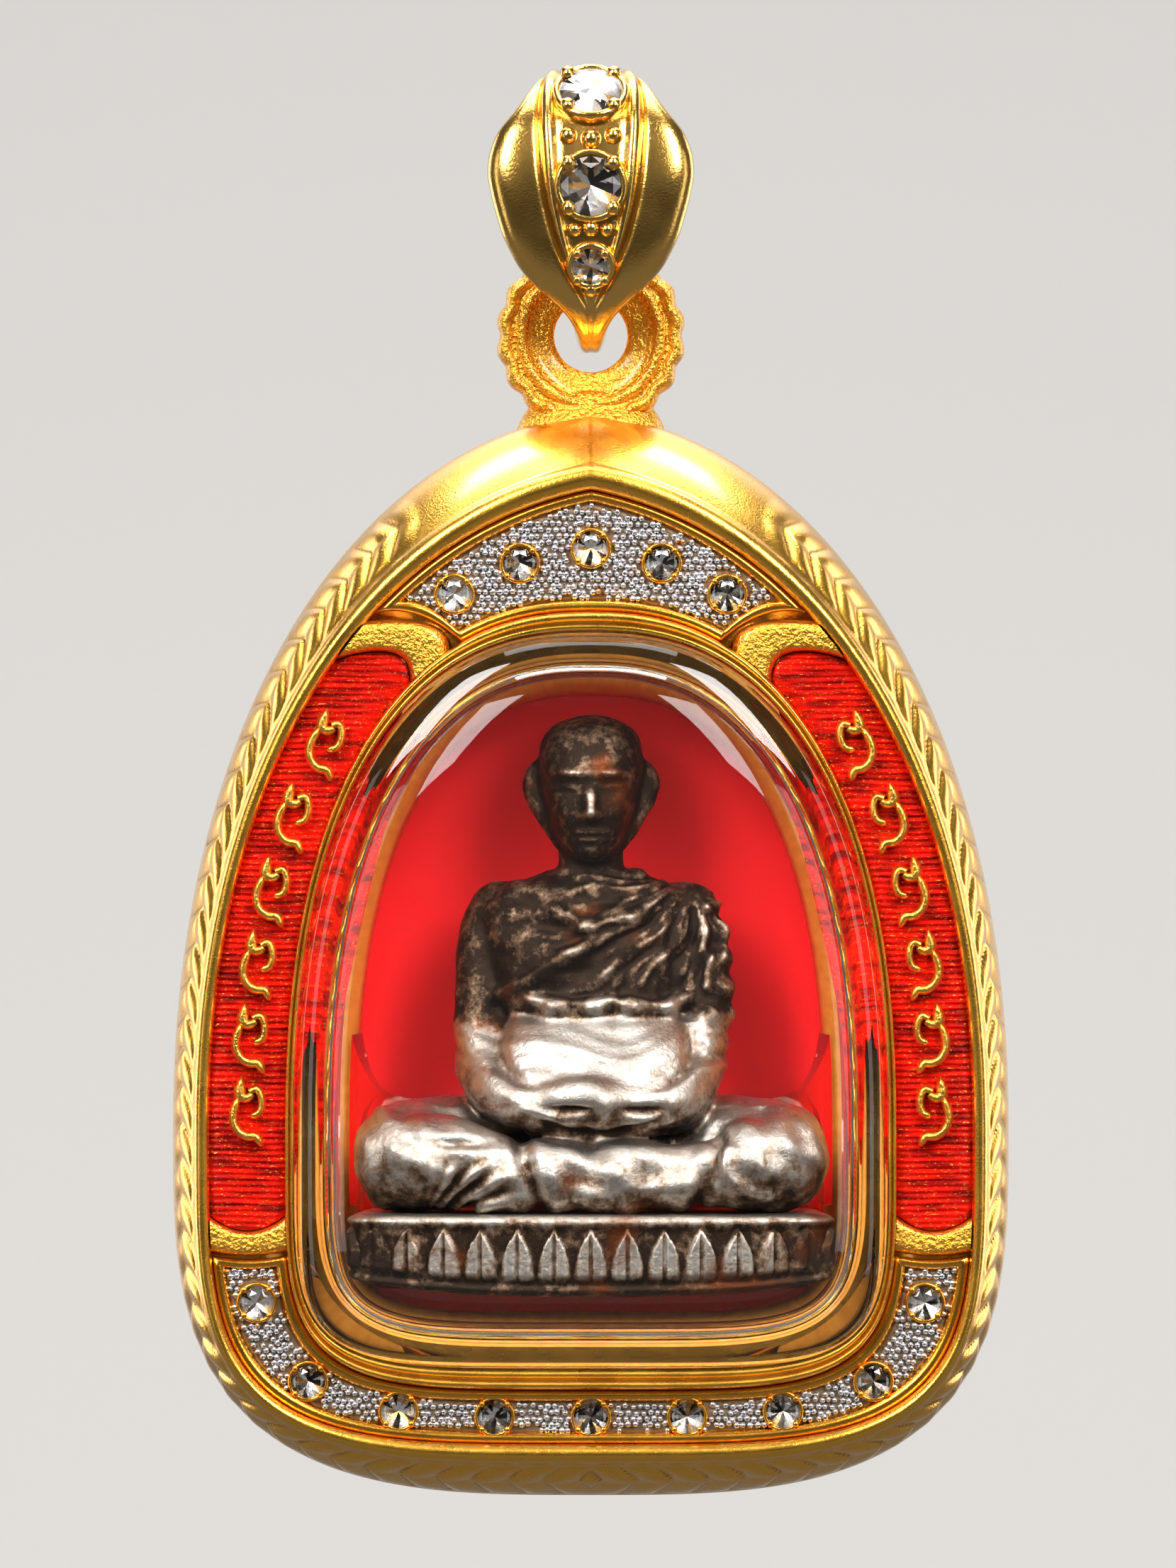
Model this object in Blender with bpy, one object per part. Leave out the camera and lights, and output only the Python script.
"""Monk figure amulet: a cast seated figure in a clear capsule, held by a gold frame that hangs from a bail.

Metres, +Z up, +X to the viewer's right, -Y towards the viewer. The origin is the top of the bail's
hollow, where the neck chain carries the bail. Sizes are worked out downwards from there.
"""

import math
from collections import namedtuple

import bmesh
import bpy
import numpy as np
from mathutils import Matrix, Vector

MM = 0.001

# Clearances between pieces that touch or turn on the real object.
FIT_GAP = 0.10 * MM
SWING_GAP = 0.15 * MM

# The bail, a closed loop seen from the side, with a broad heart-shaped shield in front.
BAIL_OPENING_HEIGHT = 7.6 * MM
BAIL_TOP_WALL = 1.0 * MM
BAIL_FOOT_WALL = 1.8 * MM
BAIL_FRONT_WALL = 1.15 * MM
BAIL_BACK_WALL = 0.9 * MM
BAIL_OPENING_FRONT = 3.0 * MM
BAIL_OPENING_BACK = 2.5 * MM
BAIL_HALF_WIDTH = 3.95 * MM
BAIL_RIDGE_HEIGHT = 0.42 * MM

# The hanger ring, cast on the crown of the frame.
RING_HOLE_RADIUS = 1.4 * MM
RING_RADIUS = 3.64 * MM
RING_HALF_THICKNESS = 1.05 * MM
RING_SCALLOP_DEPTH = 0.13 * MM
RING_SCALLOPS = 18
RING_SINK = 0.74 * MM

# The frame. Its outlines are measured from the level where it is widest.
CASE_HALF_WIDTH = 16.0 * MM
CASE_RISE = 27.5 * MM
CASE_DROP = 13.95 * MM
FRAME_FRONT = 4.8 * MM
FRAME_BACK = 5.95 * MM
PANEL_RECESS = 0.85 * MM
CREST_HEIGHT = 0.28 * MM
LEAF_RELIEF = 0.16 * MM
LEAVES_PER_SIDE = 25
SILHOUETTE_LEAN = 1.8 * MM
BAR_LEAN = 3.0 * MM
PANEL_LEAN = 3.5 * MM
LIP_WIDTH = 0.55 * MM
LIP_THICKNESS = 0.8 * MM
PANEL_RIM = 0.12 * MM

# A band of the front face is narrower at the sides than at the crown and the foot.
Band = namedtuple("Band", "side crown foot")
SLOPING_WALL = Band(side=0.95 * MM, crown=2.1 * MM, foot=1.45 * MM)
OUTER_BAR = Band(side=0.60 * MM, crown=1.0 * MM, foot=0.75 * MM)
PANEL_BAND = Band(side=2.85 * MM, crown=4.6 * MM, foot=2.05 * MM)
BEZEL = Band(side=0.36 * MM, crown=0.8 * MM, foot=0.82 * MM)
BACK_SLOPE = Band(side=0.8 * MM, crown=0.9 * MM, foot=0.8 * MM)

# Inlays of the front face.
INLAY_THICKNESS = 0.5 * MM
ENAMEL_RELIEF_HEIGHT = 0.32 * MM
RELIEF_WIDTH = 1.45 * MM
RELIEF_GAP = 0.33 * MM
RELIEF_STROKE = 0.42 * MM
RELIEF_ROOT = 0.4 * MM
RELIEFS_PER_SIDE = 6
CURL_SHARE = 0.85
PAVE_STONE_RADIUS = 0.66 * MM
CROWN_STONES = 5
FOOT_STONES = 9

# Stones of the bail, top, middle and low.
BAIL_STONE_RADIUS = (1.22 * MM, 1.18 * MM, 0.72 * MM)

# The clear capsule, the red card and the cradle that grips the figure.
CAPSULE_WALL = 1.1 * MM
DOME_REACH = 3.0 * MM
DOME_SHOULDER = 1.5 * MM
FLANGE_THICKNESS = 0.7 * MM
BACK_PLATE_THICKNESS = 0.9 * MM
CARD_THICKNESS = 0.35 * MM
CRADLE_THICKNESS = 4.4 * MM
CRADLE_WEB = 0.8 * MM
CRADLE_NOTCH = 0.75 * MM

# The figure stands clear of the capsule by these.
FIGURE_SIDE_ROOM = 0.3 * MM
FIGURE_FOOT_ROOM = 1.45 * MM
FIGURE_HEAD_ROOM = 1.6 * MM
FIGURE_FRONT_ROOM = 1.2 * MM
PLINTH_HEIGHT = 3.2 * MM

# How finely the round shapes are divided.
FRAME_STEPS_PER_LEAF = 2
CAPSULE_STEPS_PER_SIDE = 24
BAIL_STEPS = 38


# Meshes and materials

def material(name, colour, metallic, roughness, alpha=1.0):
    """A plain finish for one slot."""
    made = bpy.data.materials.get(name) or bpy.data.materials.new(name)
    made.use_nodes = True
    shader = made.node_tree.nodes["Principled BSDF"]
    shader.inputs["Base Color"].default_value = (*colour, 1.0)
    shader.inputs["Metallic"].default_value = metallic
    shader.inputs["Roughness"].default_value = roughness
    shader.inputs["Alpha"].default_value = alpha
    return made


GOLD = material("gold_plate", (0.86, 0.60, 0.16), 1.0, 0.28)
RHODIUM = material("rhodium_grain", (0.80, 0.80, 0.82), 1.0, 0.35)
ENAMEL = material("red_enamel", (0.62, 0.03, 0.02), 0.0, 0.25)
CLEAR = material("clear_acrylic", (0.95, 0.95, 0.95), 0.0, 0.03, 0.25)
CARD = material("red_card", (0.62, 0.05, 0.06), 0.0, 0.5)
STONE = material("white_zircon", (0.92, 0.92, 0.95), 0.0, 0.02, 0.6)
ALLOY = material("dark_alloy", (0.30, 0.27, 0.24), 1.0, 0.4)


def mesh_object(name, points, faces, finish=None, smooth=True):
    """A closed mesh in world space, its faces turned outwards."""
    mesh = bpy.data.meshes.new(name)
    mesh.from_pydata([tuple(p) for p in points], [], faces)
    work = bmesh.new()
    work.from_mesh(mesh)
    bmesh.ops.recalc_face_normals(work, faces=work.faces[:])
    work.to_mesh(mesh)
    work.free()
    obj = bpy.data.objects.new(name, mesh)
    bpy.context.scene.collection.objects.link(obj)
    if finish:
        mesh.materials.append(finish)
    if smooth:
        mesh.shade_smooth()
        mesh.set_sharp_from_angle(angle=math.radians(35))
    return obj


def loft(name, rings, finish=None, wrap=False, smooth=True):
    """A skin over rings of equal count. The end rings are capped, unless the last joins the first."""
    rings = [np.asarray(r, float) for r in rings]
    count = len(rings[0])
    points = np.vstack(rings)
    faces = []
    spans = len(rings) if wrap else len(rings) - 1
    for i in range(spans):
        here, there = i * count, ((i + 1) % len(rings)) * count
        for j in range(count):
            k = (j + 1) % count
            faces.append((here + j, here + k, there + k, there + j))
    if not wrap:
        faces.append(tuple(range(count))[::-1])
        faces.append(tuple((len(rings) - 1) * count + j for j in range(count)))
    return mesh_object(name, points, faces, finish, smooth)


def prism(name, outline, front, back, finish=None):
    """A flat outline in X and Z, thick from y = front to y = back."""
    return loft(name, [at_depth(outline, front), at_depth(outline, back)], finish, smooth=False)


def at_depth(outline, y):
    """An outline of x and z, set at one depth."""
    return np.column_stack([outline[:, 0], np.full(len(outline), y), outline[:, 1]])


def combine(target, helpers, operation):
    """Cuts the helpers from the target or joins them to it, and hides them."""
    for helper in helpers:
        helper.hide_render = True
        helper.display_type = "WIRE"
        step = target.modifiers.new(helper.name, "BOOLEAN")
        step.operation = operation
        step.solver = "EXACT"
        step.object = helper


def joined(name, objects):
    """One helper that holds several separate shapes."""
    work = bmesh.new()
    for obj in objects:
        work.from_mesh(obj.data)
        bpy.data.objects.remove(obj)
    mesh = bpy.data.meshes.new(name)
    work.to_mesh(mesh)
    work.free()
    obj = bpy.data.objects.new(name, mesh)
    bpy.context.scene.collection.objects.link(obj)
    return obj


# Outlines of the case. Each is symmetric about x = 0.

Outline = namedtuple("Outline", "half_width rise drop crown_curve foot_curve peak")


def half_curve(outline, dense=400):
    """The right half from crown to foot: superellipse quarters, the upper one leaning in to a peak."""
    lean = outline.peak / (outline.half_width + outline.peak)
    power = 2 / outline.crown_curve
    steepest = math.acos(lean ** (1 / power))
    turn = np.linspace(steepest, 0, dense)
    upper_x = (outline.half_width + outline.peak) * np.cos(turn) ** power - outline.peak
    upper_z = outline.rise * (np.sin(turn) / math.sin(steepest)) ** power
    turn = np.linspace(0, math.pi / 2, dense)[1:]
    lower_x = outline.half_width * np.clip(np.cos(turn), 0, 1) ** (2 / outline.foot_curve)
    lower_z = -outline.drop * np.sin(turn) ** (2 / outline.foot_curve)
    return np.column_stack([np.r_[upper_x, lower_x], np.r_[upper_z, lower_z]])


def along(curve, shares):
    """Points of a curve at shares of its length."""
    length = np.r_[0, np.cumsum(np.linalg.norm(np.diff(curve, axis=0), axis=1))]
    at = np.asarray(shares) * length[-1]
    return np.column_stack([np.interp(at, length, curve[:, i]) for i in (0, 1)])


def closed_outline(outline, per_side):
    """The whole outline: down the right half, then up the left, evenly spaced."""
    right = along(half_curve(outline), np.linspace(0, 1, per_side + 1))
    right[0, 0] = right[-1, 0] = 0.0
    left = right[-2:0:-1] * (-1, 1)
    return lifted(np.vstack([right, left]))


def lifted(points):
    """Moves points from the case's widest level to the part's own frame."""
    return points + (0, WIDEST_LEVEL)


def inset(outline, band, share=1.0):
    """The outline moved inwards by a share of a band."""
    return outline._replace(
        half_width=outline.half_width - band.side * share,
        rise=outline.rise - band.crown * share,
        drop=outline.drop - band.foot * share,
    )


def even_band(width):
    return Band(width, width, width)


def share_at_level(outline, level):
    """How far along the right half, from the crown, the outline passes a level above the widest one."""
    curve = half_curve(outline)
    length = np.r_[0, np.cumsum(np.linalg.norm(np.diff(curve, axis=0), axis=1))]
    return float(np.interp(-level, -curve[:, 1], length) / length[-1])


HOLE_TOP = -BAIL_OPENING_HEIGHT + SWING_GAP
RING_CENTRE = HOLE_TOP - RING_HOLE_RADIUS
WIDEST_LEVEL = RING_CENTRE - (RING_RADIUS - RING_SINK) - CASE_RISE

SILHOUETTE = Outline(CASE_HALF_WIDTH, CASE_RISE, CASE_DROP, 2.12, 3.15, SILHOUETTE_LEAN)
BAR_OUTER = inset(SILHOUETTE, SLOPING_WALL)._replace(crown_curve=2.15, foot_curve=3.7, peak=BAR_LEAN)
BAR_INNER = inset(BAR_OUTER, OUTER_BAR)._replace(crown_curve=2.2, foot_curve=4.0, peak=PANEL_LEAN)
BEZEL_OUTER = inset(BAR_INNER, PANEL_BAND)._replace(crown_curve=2.35, foot_curve=4.6, peak=0.0)
WINDOW = inset(BEZEL_OUTER, BEZEL)._replace(crown_curve=2.4, foot_curve=5.0)
POCKET = inset(WINDOW, even_band(-LIP_WIDTH))
BACK_RIM = inset(SILHOUETTE, BACK_SLOPE)
DOME_OUTER = inset(WINDOW, even_band(FIT_GAP))
CAVITY = inset(DOME_OUTER, even_band(CAPSULE_WALL))
FLANGE = inset(POCKET, even_band(FIT_GAP))

FACE = -FRAME_FRONT
RECESS_FLOOR = FACE + PANEL_RECESS
LIP_BACK = FACE + LIP_THICKNESS
FLANGE_FRONT = LIP_BACK + FIT_GAP
FLANGE_BACK = FLANGE_FRONT + FLANGE_THICKNESS
BACK_LIP_FRONT = FRAME_BACK - LIP_THICKNESS
PLATE_BACK = BACK_LIP_FRONT - FIT_GAP
PLATE_FRONT = PLATE_BACK - BACK_PLATE_THICKNESS
CARD_BACK = PLATE_FRONT - FIT_GAP
CARD_FRONT = CARD_BACK - CARD_THICKNESS
DOME_TOP = FACE - DOME_REACH
CAVITY_FRONT = DOME_TOP + CAPSULE_WALL
FRAME_STEPS = LEAVES_PER_SIDE * FRAME_STEPS_PER_LEAF


# The gold frame

def outward(points):
    """Unit normals of a closed outline of x and z, pointing away from its inside."""
    along_it = np.roll(points, -1, axis=0) - np.roll(points, 1, axis=0)
    normals = np.column_stack([-along_it[:, 1], along_it[:, 0]])
    normals /= np.linalg.norm(normals, axis=1)[:, None]
    return normals if (normals * (points - points.mean(axis=0))).sum() > 0 else -normals


def leaf_row(outline, y, phase):
    """A ring of the side wall whose points rise and fall, one leaf for each FRAME_STEPS_PER_LEAF."""
    points = closed_outline(outline, FRAME_STEPS)
    step = np.arange(len(points))
    step = np.minimum(step, len(points) - step)
    wave = np.cos(math.pi * (step + phase))
    return at_depth(points + outward(points) * (LEAF_RELIEF * wave)[:, None], y)


def frame_blank():
    """The frame before its recesses: a closed profile carried round the case, with a leaf pattern on its wall."""
    wall_depth = FRAME_FRONT + FRAME_BACK
    rings = [
        at_depth(closed_outline(WINDOW, FRAME_STEPS), LIP_BACK),
        at_depth(closed_outline(WINDOW, FRAME_STEPS), FACE),
        at_depth(closed_outline(inset(BEZEL_OUTER, BEZEL, 0.5), FRAME_STEPS), FACE - CREST_HEIGHT),
        at_depth(closed_outline(BEZEL_OUTER, FRAME_STEPS), FACE),
        at_depth(closed_outline(BAR_INNER, FRAME_STEPS), FACE),
        at_depth(closed_outline(inset(BAR_OUTER, OUTER_BAR, 0.5), FRAME_STEPS), FACE - CREST_HEIGHT / 2),
        at_depth(closed_outline(BAR_OUTER, FRAME_STEPS), FACE + wall_depth * 0.03),
        leaf_row(inset(SILHOUETTE, SLOPING_WALL, 0.55), FACE + wall_depth * 0.14, 0),
        leaf_row(inset(SILHOUETTE, SLOPING_WALL, 0.15), FACE + wall_depth * 0.27, 1),
        at_depth(closed_outline(SILHOUETTE, FRAME_STEPS), FACE + wall_depth * 0.42),
        at_depth(closed_outline(inset(SILHOUETTE, BACK_SLOPE, 0.3), FRAME_STEPS), FACE + wall_depth * 0.8),
        at_depth(closed_outline(BACK_RIM, FRAME_STEPS), FRAME_BACK),
        at_depth(closed_outline(WINDOW, FRAME_STEPS), FRAME_BACK),
        at_depth(closed_outline(WINDOW, FRAME_STEPS), BACK_LIP_FRONT),
        at_depth(closed_outline(POCKET, FRAME_STEPS), BACK_LIP_FRONT),
        at_depth(closed_outline(POCKET, FRAME_STEPS), LIP_BACK),
    ]
    return loft("case_frame", rings, GOLD, wrap=True)


def hanger_ring():
    """The scalloped ring: ribs and a dished band, given as shares of the way from hole to rim."""
    # Columns: way from hole to rim, share of the half thickness, share of the scallop.
    profile = (
        (0.00, 0.45, 0.0),
        (0.12, 0.62, 0.0),
        (0.46, 0.78, 0.0),
        (0.56, 1.00, 0.0),
        (0.70, 0.80, 0.3),
        (0.86, 0.92, 0.8),
        (1.00, 0.35, 1.0),
    )
    turn = np.arange(RING_SCALLOPS * 2) * math.pi / RING_SCALLOPS
    width = RING_RADIUS - RING_HOLE_RADIUS
    rings = []
    for side in (-1, 1):
        for way, thick, scallop in profile[::side]:
            notch = RING_SCALLOP_DEPTH * scallop * (1 - np.cos(RING_SCALLOPS * turn)) / 2
            radius = RING_HOLE_RADIUS + width * way - notch
            circle = np.column_stack([np.sin(turn), np.cos(turn)]) * radius[:, None]
            rings.append(at_depth(circle + (0, RING_CENTRE), -side * RING_HALF_THICKNESS * thick))
    return loft("hanger_ring_blank", rings, wrap=True)


# Panels of the front face

PanelEnd = namedtuple("PanelEnd", "outer_level inner_level bulge")

# Levels are shares of the recess's rise above the widest level, or of its drop below it.
ENAMEL_TOP = PanelEnd(outer_level=0.735, inner_level=0.700, bulge=0.20)
ENAMEL_FOOT = PanelEnd(outer_level=-0.265, inner_level=-0.262, bulge=0.20)
CROWN_PANEL_END = PanelEnd(outer_level=0.806, inner_level=0.765, bulge=-0.12)
FOOT_PANEL_END = PanelEnd(outer_level=-0.388, inner_level=-0.385, bulge=-0.05)
RELIEF_TOP, RELIEF_FOOT = 0.605, 0.035


def level_of(share):
    return share * (BAR_INNER.rise if share > 0 else BAR_INNER.drop)


# Each flame ornament is as high as the pitch of its row leaves, less the gap to the next.
RELIEF_PITCH = (RELIEF_TOP - RELIEF_FOOT) * BAR_INNER.rise / (RELIEFS_PER_SIDE - 1)
RELIEF_HEIGHT = RELIEF_PITCH - RELIEF_GAP


def arc_between(start, end, bulge, steps=8):
    """Points inside an arc from start to end, standing off its chord by a share of the chord."""
    chord = end - start
    across = np.array([-chord[1], chord[0]])
    share = np.linspace(0, 1, steps + 1)[1:-1, None]
    return start + chord * share + across * bulge * 4 * share * (1 - share)


def panel_outline(first, last, rim, steps):
    """A closed panel on the right of the case, between two ends. A missing end is the crown or foot."""
    outer = inset(BAR_INNER, even_band(rim))
    inner = inset(BEZEL_OUTER, even_band(-rim))
    end_rim = 1.5 * rim
    outer_from = share_at_level(outer, level_of(first.outer_level) - end_rim) if first else 0.0
    inner_from = share_at_level(inner, level_of(first.inner_level) - end_rim) if first else 0.0
    outer_to = share_at_level(outer, level_of(last.outer_level) + end_rim) if last else 1.0
    inner_to = share_at_level(inner, level_of(last.inner_level) + end_rim) if last else 1.0
    outer_run = along(half_curve(outer), np.linspace(outer_from, outer_to, steps + 1))
    inner_run = along(half_curve(inner), np.linspace(inner_to, inner_from, steps + 1))
    low_end = arc_between(outer_run[-1], inner_run[0], last.bulge) if last else np.empty((0, 2))
    high_end = arc_between(inner_run[-1], outer_run[0], first.bulge) if first else np.empty((0, 2))
    return outer_run, low_end, inner_run, high_end


def side_panel(side, rim, steps=22):
    """The enamel's outline on one side of the case."""
    outline = np.vstack(panel_outline(ENAMEL_TOP, ENAMEL_FOOT, rim, steps))
    return lifted(outline * (side, 1))


def middle_panel(first, last, rim, steps):
    """A grained panel that runs over the crown or the foot, both sides in one outline."""
    outer, low_end, inner, high_end = panel_outline(first, last, rim, steps)
    flip = (-1, 1)
    if last:
        half_outer, end, half_inner = outer[1:], low_end, inner[:-1]
        left = [half_inner[::-1] * flip, end[::-1] * flip, half_outer[::-1] * flip]
        runs = [outer[:1], half_outer, end, half_inner, inner[-1:], *left]
    else:
        end = high_end[::-1]
        half_outer, half_inner = outer[:-1][::-1], inner[1:]
        left = [half_inner * flip, end[::-1] * flip, half_outer[::-1] * flip]
        runs = [outer[-1:], half_outer, end, half_inner[::-1], inner[:1], *left]
    outline = np.vstack(runs)
    outline[np.abs(outline[:, 0]) < 1e-7, 0] = 0.0
    return lifted(outline)


def crown_panel(rim):
    return middle_panel(None, CROWN_PANEL_END, rim, 14)


def foot_panel(rim):
    return middle_panel(FOOT_PANEL_END, None, rim, 20)


# The curled flame ornaments of the enamel panels

# Columns: across and up, as shares of the ornament's half width and half height, and stroke share.
FLAME_STEM = (
    (0.80, -1.00, 0.55),
    (0.05, -0.84, 0.95),
    (-0.62, -0.58, 1.05),
    (-0.86, -0.06, 0.95),
    (-0.58, 0.36, 1.10),
    (-0.34, 0.70, 0.90),
    (-0.24, 1.00, 0.20),
)
FLAME_CURL = (
    (-0.52, 0.40, 0.80),
    (0.16, 0.52, 0.95),
    (0.74, 0.34, 1.00),
    (0.80, -0.06, 0.95),
    (0.30, -0.20, 0.85),
)


def stroke_outline(table, growth):
    """The two sides of a stroke whose width follows its table, widened by a clearance."""
    rows = np.array(table)
    spine = rows[:, :2] * (RELIEF_WIDTH / 2, RELIEF_HEIGHT / 2)
    direction = np.gradient(spine, axis=0)
    direction /= np.linalg.norm(direction, axis=1)[:, None]
    side = np.column_stack([-direction[:, 1], direction[:, 0]])
    half = (rows[:, 2] * RELIEF_STROKE / 2 + growth)[:, None]
    spine[0] -= direction[0] * growth
    spine[-1] += direction[-1] * growth
    return np.vstack([spine + side * half, (spine - side * half)[::-1]])


def relief_spots():
    """Where each ornament stands: its centre and lean, spaced evenly down the right enamel panel."""
    outer, inner = half_curve(BAR_INNER), half_curve(BEZEL_OUTER)
    spots = []
    for row in range(RELIEFS_PER_SIDE):
        level = level_of(RELIEF_TOP) - RELIEF_PITCH * row
        outside = along(outer, [share_at_level(BAR_INNER, level)])[0]
        inside = along(inner, [share_at_level(BEZEL_OUTER, level)])[0]
        below = along(outer, [share_at_level(BAR_INNER, level - RELIEF_HEIGHT / 2)])[0]
        above = along(outer, [share_at_level(BAR_INNER, level + RELIEF_HEIGHT / 2)])[0]
        lean = math.atan2(above[0] - below[0], above[1] - below[1]) * 0.5
        spots.append((outside * 0.48 + inside * 0.52, lean))
    return spots


def reliefs(name, table, growth, front, back):
    """One stroke of every ornament, both sides of the case, as one helper of separate prisms."""
    strokes = []
    outline = stroke_outline(table, growth) * (-1, 1)
    for centre, lean in relief_spots():
        turn = np.array([[math.cos(lean), -math.sin(lean)], [math.sin(lean), math.cos(lean)]])
        for side in (-1, 1):
            placed = (outline @ turn + centre) * (side, 1)
            strokes.append(prism("stroke", lifted(placed), front, back))
    return joined(name, strokes)


# Stones

def stone_spots(panel_outer, panel_inner, shares, across):
    """Centres of stones between two half outlines, at shares of their length."""
    outer = along(half_curve(panel_outer), shares)
    inner = along(half_curve(panel_inner), shares)
    return outer * across + inner * (1 - across)


def crown_stone_spots():
    """An odd row over the crown: one in the middle and pairs beside it."""
    pairs = CROWN_STONES // 2
    reach = share_at_level(BAR_INNER, level_of(0.905)) / pairs
    right = stone_spots(BAR_INNER, BEZEL_OUTER, [reach * i for i in range(pairs + 1)], 0.52)
    return lifted(np.vstack([right[:0:-1] * (-1, 1), right]))


def foot_stone_spots():
    """An odd row round the foot."""
    pairs = FOOT_STONES // 2
    first = share_at_level(BAR_INNER, level_of(-0.60))
    shares = [1 - (1 - first) * i / pairs for i in range(pairs + 1)]
    right = stone_spots(BAR_INNER, BEZEL_OUTER, shares, 0.5)
    return lifted(np.vstack([right[:0:-1] * (-1, 1), right]))


def cut_stone(name, radius, place, depth_share=0.74):
    """A round cut: an eight-sided table, a faceted crown, a sixteen-sided girdle and a pointed pavilion."""
    def circle(count, r, height, turn=0.0):
        angle = (np.arange(count) + turn) * 2 * math.pi / count
        return np.column_stack([r * np.sin(angle), np.full(count, height), r * np.cos(angle)])

    points = np.vstack([
        circle(8, radius * 0.56, -radius * 0.32),
        circle(16, radius, 0.0),
        [(0.0, radius * depth_share, 0.0)],
    ])
    faces = [tuple(range(8))]
    for i in range(8):
        table, after, girdle = i, (i + 1) % 8, 8 + 2 * i
        left, right = 8 + (2 * i - 1) % 16, 8 + (2 * i + 1) % 16
        faces += [(table, left, girdle), (table, girdle, right), (table, right, after)]
    for i in range(16):
        faces.append((8 + i, 24, 8 + (i + 1) % 16))
    stone = mesh_object(name, points, faces, STONE, smooth=False)
    stone.data.transform(place)
    return stone


def seat_cutter(name, radius, place, depth, sides=12):
    """The drilled seat of one stone, a little wider than it and deeper than its point."""
    angle = np.arange(sides) * 2 * math.pi / sides
    wide = (radius + FIT_GAP / 2) / math.cos(math.pi / sides)
    circle = np.column_stack([wide * np.sin(angle), wide * np.cos(angle)])
    cutter = prism(name, circle, -radius, depth)
    cutter.data.transform(place)
    return cutter


# The bail

def bail_loop(share):
    """One station of the bail's side view: (inner point, outer point) in y and z, share 0 at the foot
    and 0.5 at the top, running up the front and down the back."""
    turn = share * 2 * math.pi
    front = share < 0.5
    height = (1 - math.cos(turn)) / 2
    reach = abs(math.sin(turn))
    opening = BAIL_OPENING_FRONT if front else BAIL_OPENING_BACK
    swell = reach ** 0.65 * (0.8 + 0.2 * height)
    inner = Vector((0, -opening * swell if front else opening * swell, -BAIL_OPENING_HEIGHT * (1 - height)))
    wall = BAIL_FRONT_WALL if front else BAIL_BACK_WALL
    near_foot = max(0.0, math.cos(turn)) ** 1.5
    near_top = max(0.0, -math.cos(turn)) ** 1.5
    thick = wall + (BAIL_FOOT_WALL - wall) * near_foot + (BAIL_TOP_WALL - wall) * near_top
    return inner, thick


# Columns: share round the loop, half width as a share of the widest, and ridge half width likewise.
BAIL_WIDTHS = (
    (0.000, 0.15, 0.05),
    (0.050, 0.19, 0.05),
    (0.080, 0.29, 0.07),
    (0.100, 0.43, 0.08),
    (0.125, 0.59, 0.12),
    (0.150, 0.71, 0.20),
    (0.200, 0.86, 0.33),
    (0.250, 0.95, 0.42),
    (0.290, 1.00, 0.46),
    (0.325, 0.98, 0.48),
    (0.360, 0.90, 0.50),
    (0.400, 0.72, 0.50),
    (0.450, 0.56, 0.47),
    (0.500, 0.45, 0.40),
    (0.580, 0.38, 0.20),
    (0.750, 0.32, 0.12),
    (0.900, 0.24, 0.08),
    (1.000, 0.15, 0.05),
)


def bail_station(share):
    """A closed section of the bail across x, and the frame it stands in."""
    step = 0.004
    here, thick = bail_loop(share)
    before = bail_loop((share - step) % 1.0)[0]
    after = bail_loop((share + step) % 1.0)[0]
    forward = (after - before).normalized()
    outward_way = Vector((0, -forward.z, forward.y))
    columns = np.array(BAIL_WIDTHS)
    half = BAIL_HALF_WIDTH * float(np.interp(share, columns[:, 0], columns[:, 1]))
    ridge = BAIL_HALF_WIDTH * float(np.interp(share, columns[:, 0], columns[:, 2]))
    lift = BAIL_RIDGE_HEIGHT * min(1.0, ridge / (0.3 * BAIL_HALF_WIDTH))
    # Columns: across as x, and height over the loop's inner face.
    section = (
        (0.0, 0.0),
        (0.62 * half, 0.0),
        (0.92 * half, 0.18 * thick),
        (half, 0.42 * thick),
        (0.93 * half, 0.72 * thick),
        (0.5 * (half + ridge), 1.06 * thick),
        (ridge + 0.04 * half, 0.90 * thick),
        (0.92 * ridge, 0.90 * thick + lift),
    )
    right = [(across, height) for across, height in section]
    left = [(-across, height) for across, height in section[:0:-1]]
    return [here + outward_way * height + Vector((across, 0, 0)) for across, height in right + left]


def bail_body():
    rings = [bail_station(i / BAIL_STEPS) for i in range(BAIL_STEPS)]
    return loft("bail", [[tuple(p) for p in ring] for ring in rings], GOLD, wrap=True)


# Columns: share round the loop of each bail stone.
BAIL_STONE_STATIONS = (0.410, 0.272, 0.163)


def bail_stone_place(station, radius):
    """Where a stone sits: on the ridge, its table facing out of the loop."""
    step = 0.004
    here, thick = bail_loop(station)
    forward = (bail_loop(station + step)[0] - bail_loop(station - step)[0]).normalized()
    outward_way = Vector((0, -forward.z, forward.y))
    top = here + outward_way * (0.90 * thick + BAIL_RIDGE_HEIGHT + radius * 0.06)
    turn = Matrix((
        (1, 0, 0),
        (0, -outward_way.y, forward.y),
        (0, -outward_way.z, forward.z),
    )).to_4x4()
    return Matrix.Translation(top) @ turn


# The figure. Shares are of its width, its depth and its seated height over the plinth.

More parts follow.
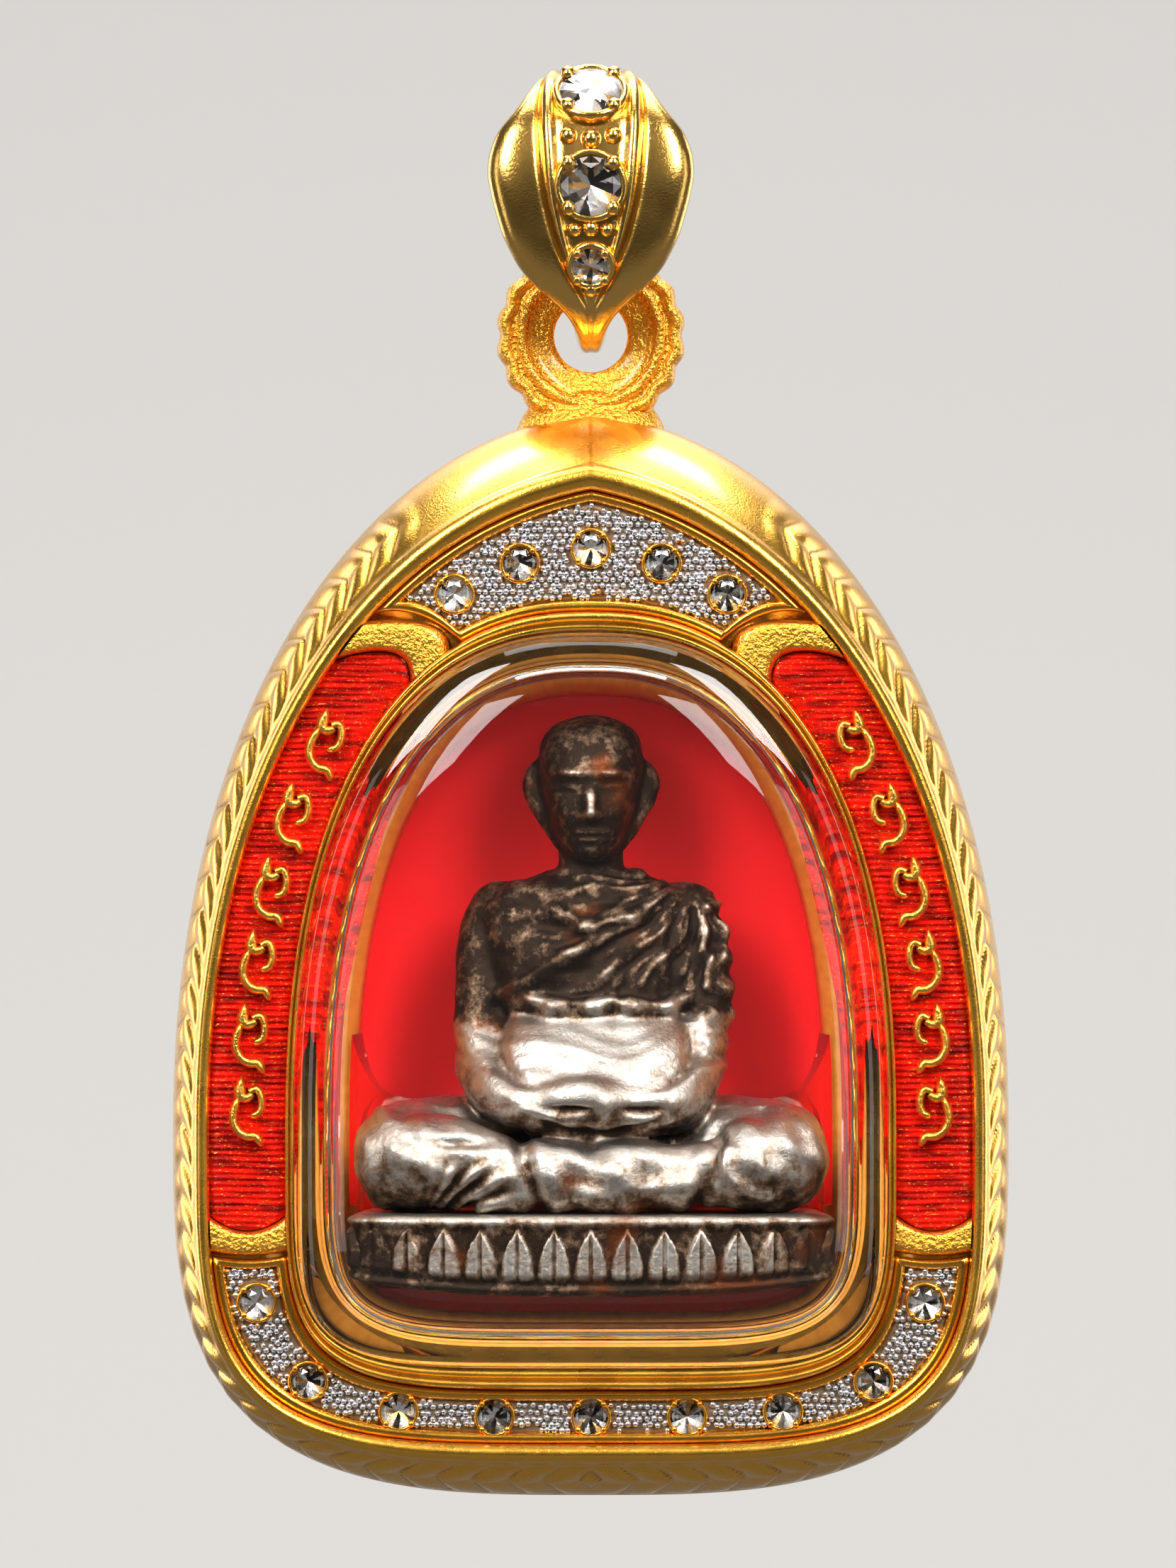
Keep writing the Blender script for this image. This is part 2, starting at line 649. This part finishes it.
FIGURE_HALF_WIDTH = CAVITY.half_width - FIGURE_SIDE_ROOM
FIGURE_FOOT = WIDEST_LEVEL - CAVITY.drop + FIGURE_FOOT_ROOM
PLINTH_TOP = FIGURE_FOOT + PLINTH_HEIGHT
SEATED_HEIGHT = WIDEST_LEVEL + CAVITY.rise - FIGURE_HEAD_ROOM - PLINTH_TOP
CRADLE_BACK = CARD_FRONT - FIT_GAP
FIGURE_BACK = CRADLE_BACK - CRADLE_WEB - FIT_GAP
FIGURE_FRONT = CAVITY_FRONT + FIGURE_FRONT_ROOM
FIGURE_DEPTH = FIGURE_BACK - FIGURE_FRONT
LEGS_TOP = PLINTH_TOP + 0.255 * SEATED_HEIGHT


def figure_point(across, deep, high):
    """A point of the figure: across is a share of its half width, deep runs from front 0 to back 1,
    and high from the plinth's top 0 to the crown of the head 1."""
    level = PLINTH_TOP + high * SEATED_HEIGHT
    return Vector((across * FIGURE_HALF_WIDTH, FIGURE_FRONT + deep * FIGURE_DEPTH, level))


def upright_form(name, table, sides):
    """A form lofted upwards. Columns: level, middle across, half width, front and back, all shares."""
    turn = np.arange(sides) * 2 * math.pi / sides
    rings = []
    for high, across, half, front, back in table:
        ring = [figure_point(across + half * math.cos(a), (front + back) / 2 + (back - front) / 2 * math.sin(a), high)
                for a in turn]
        rings.append([tuple(p) for p in ring])
    return loft(name, rings)


def level_form(name, table, sides):
    """A form lofted across. Columns: across, level, half height, front and back, all shares."""
    turn = np.arange(sides) * 2 * math.pi / sides
    rings = []
    for across, high, half, front, back in table:
        ring = [figure_point(across, (front + back) / 2 + (back - front) / 2 * math.cos(a), high + half * math.sin(a))
                for a in turn]
        rings.append([tuple(p) for p in ring])
    return loft(name, rings)


def limb(name, table, side, sides=8):
    """A tube through points. Columns: across, deep, level, and radius as a share of the half width."""
    spine = [figure_point(side * across, deep, high) for across, deep, high, _ in table]
    rings = []
    for i, (_, _, _, radius) in enumerate(table):
        ahead = (spine[min(i + 1, len(spine) - 1)] - spine[max(i - 1, 0)]).normalized()
        first = ahead.cross(Vector((0, 1, 0))).normalized()
        second = ahead.cross(first)
        r = radius * FIGURE_HALF_WIDTH
        rings.append([
            tuple(spine[i] + (first * math.cos(a) + second * math.sin(a)) * r)
            for a in np.arange(sides) * 2 * math.pi / sides
        ])
    return loft(name, rings)


TORSO = (
    (0.114, 0.0, 0.47, 0.36, 0.98),
    (0.230, 0.0, 0.46, 0.38, 0.97),
    (0.347, 0.0, 0.42, 0.42, 0.95),
    (0.475, 0.0, 0.43, 0.42, 0.95),
    (0.575, 0.0, 0.45, 0.46, 0.94),
    (0.625, 0.0, 0.42, 0.50, 0.92),
    (0.662, 0.0, 0.30, 0.53, 0.90),
    (0.692, 0.0, 0.14, 0.58, 0.86),
)
HEAD = (
    (0.638, 0.0, 0.125, 0.54, 0.82),
    (0.691, 0.0, 0.125, 0.50, 0.82),
    (0.706, 0.0, 0.120, 0.36, 0.84),
    (0.738, 0.0, 0.155, 0.335, 0.90),
    (0.784, 0.0, 0.190, 0.33, 0.93),
    (0.843, 0.0, 0.208, 0.325, 0.95),
    (0.901, 0.0, 0.208, 0.33, 0.95),
    (0.948, 0.0, 0.182, 0.37, 0.92),
    (0.983, 0.0, 0.115, 0.46, 0.85),
    (1.000, 0.0, 0.030, 0.60, 0.72),
)
LEGS = (
    (-0.940, 0.098, 0.020, 0.44, 0.56),
    (-0.925, 0.098, 0.062, 0.30, 0.70),
    (-0.870, 0.103, 0.100, 0.20, 0.80),
    (-0.740, 0.111, 0.121, 0.11, 0.87),
    (-0.480, 0.110, 0.119, 0.06, 0.92),
    (0.0, 0.095, 0.104, 0.08, 0.96),
    (0.480, 0.110, 0.119, 0.06, 0.92),
    (0.740, 0.111, 0.121, 0.11, 0.87),
    (0.870, 0.103, 0.100, 0.20, 0.80),
    (0.925, 0.098, 0.062, 0.30, 0.70),
    (0.940, 0.098, 0.020, 0.44, 0.56),
)
ARM = (
    (0.220, 0.70, 0.630, 0.070),
    (0.350, 0.69, 0.612, 0.100),
    (0.412, 0.68, 0.560, 0.108),
    (0.425, 0.66, 0.460, 0.108),
    (0.425, 0.60, 0.345, 0.110),
    (0.390, 0.48, 0.275, 0.105),
    (0.270, 0.33, 0.235, 0.088),
    (0.130, 0.24, 0.212, 0.066),
)
EAR = (
    (0.195, 0.64, 0.770, 0.014),
    (0.212, 0.64, 0.790, 0.030),
    (0.228, 0.63, 0.830, 0.038),
    (0.232, 0.63, 0.868, 0.040),
    (0.205, 0.63, 0.905, 0.024),
)
HANDS = (
    (-0.30, 0.222, 0.020, 0.16, 0.32),
    (-0.20, 0.226, 0.040, 0.10, 0.38),
    (0.0, 0.232, 0.048, 0.08, 0.42),
    (0.20, 0.226, 0.040, 0.10, 0.38),
    (0.30, 0.222, 0.020, 0.16, 0.32),
)
SHINS = (
    (-0.66, 0.075, 0.020, 0.10, 0.30),
    (-0.50, 0.072, 0.052, 0.03, 0.34),
    (-0.20, 0.078, 0.070, 0.00, 0.36),
    (0.20, 0.088, 0.074, 0.00, 0.36),
    (0.50, 0.084, 0.060, 0.03, 0.34),
    (0.66, 0.080, 0.024, 0.10, 0.30),
)
NOSE = (
    (0.781, 0.0, 0.020, 0.31, 0.42),
    (0.792, 0.0, 0.046, 0.265, 0.42),
    (0.811, 0.0, 0.034, 0.285, 0.42),
    (0.851, 0.0, 0.018, 0.315, 0.42),
)
ROBE_EDGE = (
    (0.34, 0.56, 0.640, 0.030),
    (0.24, 0.46, 0.600, 0.046),
    (0.08, 0.425, 0.545, 0.048),
    (-0.10, 0.42, 0.490, 0.048),
    (-0.26, 0.445, 0.440, 0.044),
    (-0.36, 0.52, 0.400, 0.026),
)
ROBE_ROLL = (
    (0.40, 0.60, 0.620, 0.044),
    (0.37, 0.49, 0.560, 0.066),
    (0.30, 0.435, 0.480, 0.070),
    (0.24, 0.425, 0.400, 0.064),
    (0.20, 0.45, 0.345, 0.040),
)
WAIST_FOLD = (
    (-0.40, 0.330, 0.018, 0.44, 0.60),
    (-0.22, 0.325, 0.030, 0.385, 0.60),
    (0.0, 0.320, 0.034, 0.365, 0.60),
    (0.22, 0.325, 0.030, 0.385, 0.60),
    (0.40, 0.330, 0.018, 0.44, 0.60),
)


def plinth():
    """A block with rounded corners, a little smaller at its foot."""
    # Columns: level as a share of the plinth's height, and size as a share of its own.
    table = ((0.0, 0.90), (0.12, 0.96), (0.5, 1.0), (0.86, 0.99), (1.0, 0.955))
    turn = np.arange(24) * 2 * math.pi / 24
    round_x = np.sign(np.cos(turn)) * np.abs(np.cos(turn)) ** 0.32
    round_y = np.sign(np.sin(turn)) * np.abs(np.sin(turn)) ** 0.32
    rings = []
    for level, size in table:
        sink = Vector((0, 0, (level - 1) * PLINTH_HEIGHT))
        ring = [figure_point(x * size, 0.5 + y * 0.5 * size, 0) + sink for x, y in zip(round_x, round_y)]
        rings.append([tuple(p) for p in ring])
    return loft("figure", rings, ALLOY)


def figure():
    """The cast figure in one piece: plinth, crossed legs, trunk, arms, hands, head and the robe's folds."""
    body = plinth()
    forms = [
        level_form("legs", LEGS, 12),
        level_form("shins", SHINS, 10),
        upright_form("torso", TORSO, 14),
        upright_form("head", HEAD, 14),
        upright_form("nose", NOSE, 6),
        level_form("hands", HANDS, 8),
        limb("robe_edge", ROBE_EDGE, 1, 6),
        limb("robe_roll", ROBE_ROLL, 1, 7),
        level_form("waist_fold", WAIST_FOLD, 6),
    ]
    for side in (-1, 1):
        forms.append(limb("arm", ARM, side))
        forms.append(limb("ear", EAR, side, 6))
    combine(body, forms, "UNION")


# The capsule

def capsule_ring(outline, y):
    return at_depth(closed_outline(outline, CAPSULE_STEPS_PER_SIDE), y)


def dome():
    """The clear front of the capsule: a flange behind the bezel and a crown with a round shoulder."""
    # Columns: share of the shoulder inwards, and share of it down from the top.
    shoulder = ((0.0, 1.0), (0.10, 0.56), (0.36, 0.22), (0.95, 0.06))
    outer = [capsule_ring(FLANGE, FLANGE_BACK), capsule_ring(FLANGE, FLANGE_FRONT),
             capsule_ring(DOME_OUTER, FLANGE_FRONT)]
    inner = [capsule_ring(CAVITY, FLANGE_BACK)]
    for way, drop in shoulder:
        step = even_band(DOME_SHOULDER * way)
        outer.append(capsule_ring(inset(DOME_OUTER, step), DOME_TOP + DOME_SHOULDER * drop))
        inner.append(capsule_ring(inset(CAVITY, step), CAVITY_FRONT + DOME_SHOULDER * drop))
    return loft("crystal_dome", inner[::-1] + outer, CLEAR)


def flat_piece(name, outline, front, back, finish):
    piece = loft(name, [capsule_ring(outline, front), capsule_ring(outline, back)], finish)
    return piece


def cradle():
    """The clear block behind the figure: it fills the foot of the capsule up to two horns at the walls."""
    outline = inset(CAVITY, even_band(FIT_GAP))
    horn = 0.21 * CAVITY.rise
    start = share_at_level(outline, horn)
    right = along(half_curve(outline), np.linspace(start, 1, 20))
    notch = np.array([FIGURE_HALF_WIDTH * 0.70, LEGS_TOP - CRADLE_NOTCH - WIDEST_LEVEL])
    edge = arc_between(notch, right[0], -0.16)
    right = np.vstack([notch, edge, right[:-1]])
    foot = np.array([[0.0, -outline.drop]])
    whole = lifted(np.vstack([right, foot, right[::-1] * (-1, 1)]))
    return prism("figure_cradle", whole, CRADLE_BACK - CRADLE_THICKNESS, CRADLE_BACK, CLEAR)


def cradle_cutters():
    """The pocket for the figure, cut from the front down to the cradle's web: its legs, and its plinth."""
    room = 2 * FIT_GAP
    front = CRADLE_BACK - 2 * CRADLE_THICKNESS
    back = CRADLE_BACK - CRADLE_WEB
    plinth_top = FIGURE_FOOT + PLINTH_HEIGHT + room
    legs_top = LEGS_TOP + room
    legs_middle = PLINTH_TOP + 0.07 * SEATED_HEIGHT
    half = FIGURE_HALF_WIDTH * 0.955 + room
    turn = np.linspace(0, math.pi, 17)
    across = half * np.sign(np.cos(turn)) * np.abs(np.cos(turn)) ** 0.45
    high = legs_middle + (legs_top - legs_middle) * np.sin(turn) ** 0.45
    arch = np.vstack([
        np.column_stack([across, high]),
        [(-half, plinth_top - room), (half, plinth_top - room)],
    ])
    wide = CAVITY.half_width
    block = np.array([(-wide, FIGURE_FOOT - room), (wide, FIGURE_FOOT - room), (wide, plinth_top), (-wide, plinth_top)])
    return [prism("legs_room", arch, front, back), prism("plinth_room", block, front, back)]


# Assembly

def build_frame():
    frame = frame_blank()
    combine(frame, [hanger_ring()], "UNION")
    cut_front = FACE - 4 * CREST_HEIGHT
    panels = [
        prism("crown_recess", crown_panel(PANEL_RIM), cut_front, RECESS_FLOOR),
        prism("foot_recess", foot_panel(PANEL_RIM), cut_front, RECESS_FLOOR),
        prism("right_recess", side_panel(1, PANEL_RIM), cut_front, RECESS_FLOOR),
        prism("left_recess", side_panel(-1, PANEL_RIM), cut_front, RECESS_FLOOR),
    ]
    combine(frame, [joined("panel_recesses", panels)], "DIFFERENCE")
    inlay_front = RECESS_FLOOR - FIT_GAP - INLAY_THICKNESS
    strokes = []
    for name, table, share in (("flame_stems", FLAME_STEM, 1.0), ("flame_curls", FLAME_CURL, CURL_SHARE)):
        front = inlay_front - ENAMEL_RELIEF_HEIGHT * share
        strokes.append(reliefs(name, table, 0.0, front, RECESS_FLOOR + RELIEF_ROOT * share))
    combine(strokes[0], strokes[1:], "UNION")
    combine(frame, strokes[:1], "UNION")


def build_inlays():
    inlay_rim = PANEL_RIM + FIT_GAP
    back = RECESS_FLOOR - FIT_GAP
    front = back - INLAY_THICKNESS
    rooms = [
        reliefs("stem_room", FLAME_STEM, FIT_GAP, front - INLAY_THICKNESS, back + INLAY_THICKNESS),
        reliefs("curl_room", FLAME_CURL, FIT_GAP, front - FIT_GAP, back + FIT_GAP),
    ]
    for name, side in (("enamel_right", 1), ("enamel_left", -1)):
        combine(prism(name, side_panel(side, inlay_rim), front, back, ENAMEL), rooms, "DIFFERENCE")
    rows = (
        ("pave_crown", crown_panel(inlay_rim), crown_stone_spots()),
        ("pave_foot", foot_panel(inlay_rim), foot_stone_spots()),
    )
    for name, outline, spots in rows:
        plate = prism(name, outline, front, back, RHODIUM)
        cutters = []
        for number, (x, z) in enumerate(spots, 1):
            place = Matrix.Translation((x, front, z))
            cutters.append(seat_cutter(f"{name}_seat_{number}", PAVE_STONE_RADIUS, place, 2 * INLAY_THICKNESS))
            cut_stone(f"{name}_stone_{number}", PAVE_STONE_RADIUS, place)
        combine(plate, cutters, "DIFFERENCE")


def build_bail():
    bail = bail_body()
    cutters = []
    for name, station, radius in zip(("top", "middle", "low"), BAIL_STONE_STATIONS, BAIL_STONE_RADIUS):
        place = bail_stone_place(station, radius)
        cutters.append(seat_cutter(f"bail_seat_{name}", radius, place, radius * 0.74 + FIT_GAP))
        cut_stone(f"bail_stone_{name}", radius, place)
    combine(bail, cutters, "DIFFERENCE")


def build_capsule():
    dome()
    flat_piece("crystal_back", FLANGE, PLATE_FRONT, PLATE_BACK, CLEAR)
    flat_piece("red_card", FLANGE, CARD_FRONT, CARD_BACK, CARD)
    combine(cradle(), cradle_cutters(), "DIFFERENCE")


for old in list(bpy.data.objects):
    bpy.data.objects.remove(old)
build_bail()
build_frame()
build_inlays()
build_capsule()
figure()
